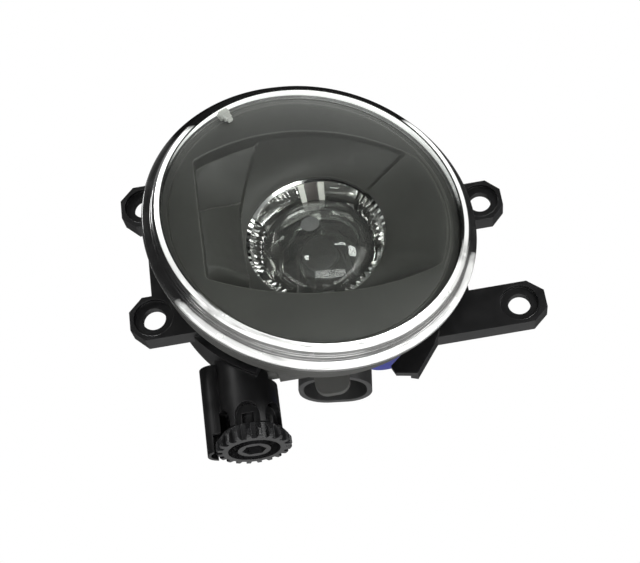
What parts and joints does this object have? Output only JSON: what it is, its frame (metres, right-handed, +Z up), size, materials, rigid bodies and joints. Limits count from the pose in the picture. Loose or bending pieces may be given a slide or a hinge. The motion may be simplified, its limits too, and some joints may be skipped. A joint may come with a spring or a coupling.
{
  "type": "fog light",
  "caption": "Round front fog lamp with a swept clear lens on a lamp unit that tilts in a black four-eared carrier, aimed by a toothed adjuster under it.",
  "frame": {"origin": "midway between the two left ear holes, on the front face of their web", "axes": "-Y forward along the beam, +X to the right seen from the front, +Z up"},
  "size_m": [0.1245, 0.0921, 0.1119],
  "materials": {
    "carrier_plastic": "semi-gloss black",
    "gear_plastic": "semi-matt black",
    "zinc_steel": "zinc plated",
    "nut_plastic": "natural acetal",
    "housing_plastic": "matt dark grey",
    "clear_lens": "clear",
    "seal_rubber": "matt black",
    "bezel_plastic": "fine matt grey",
    "spring_steel": "satin",
    "reflector_metal": "vacuum metallised",
    "inner_glass": "clear",
    "vent_rubber": "satin blue",
    "membrane": "porous white",
    "bulb_plastic": "matt black",
    "oring_rubber": "satin",
    "bulb_glass": "clear",
    "tip_coating": "dull grey coating",
    "tungsten": "dull",
    "terminal_metal": "tin plated"
  },
  "bodies": {
    "carrier": {"carrier": "carrier_plastic"},
    "lamp": {"housing": "housing_plastic", "lens_cover": "clear_lens", "lens_seal": "seal_rubber", "bezel": "bezel_plastic", "bezel_clips": "spring_steel", "reflector": "reflector_metal", "reflector_screws": "zinc_steel", "condenser_lens": "inner_glass", "condenser_holder": "reflector_metal", "pivot_pin_left": "zinc_steel", "pivot_pin_right": "zinc_steel", "vent_cap": "vent_rubber", "vent_membrane": "membrane"},
    "adjuster": {"adjuster_gear": "gear_plastic", "adjuster_spindle": "zinc_steel"},
    "nut": {"travelling_nut": "nut_plastic"},
    "bulb": {"bulb_base": "bulb_plastic", "bulb_seal": "oring_rubber", "bulb_sleeve": "spring_steel", "bulb_glass": "bulb_glass", "bulb_tip_cap": "tip_coating", "bulb_filament": "tungsten", "bulb_leads": "spring_steel", "bulb_terminals": "terminal_metal"}
  },
  "joints": [
    {"name": "lamp_tilt", "type": "hinge", "parent": "carrier", "child": "lamp", "pos_m": [0.0505, 0.038, 0.00175], "axis": [1, 0, 0], "range_deg": [-3, 3]},
    {"name": "adjuster_turn", "type": "hinge", "parent": "carrier", "child": "adjuster", "pos_m": [0.0235, 0.012, -0.05625], "axis": [0, 0, 1], "range_deg": [-615, 615]},
    {"name": "nut_travel", "type": "slide", "parent": "carrier", "child": "nut", "axis": [0, 0, 1], "range_m": [-0.00137, 0.00137]},
    {"name": "bulb_twist", "type": "hinge", "parent": "lamp", "child": "bulb", "pos_m": [0.0505, 0.048, 0.00175], "axis": [0, 1, 0], "range_deg": [0, 45]}
  ],
  "couplings": [
    {"joint": "nut_travel", "follows": "lamp_tilt", "m_per_rad": -0.026},
    {"joint": "adjuster_turn", "follows": "lamp_tilt", "ratio": 204.2}
  ]
}
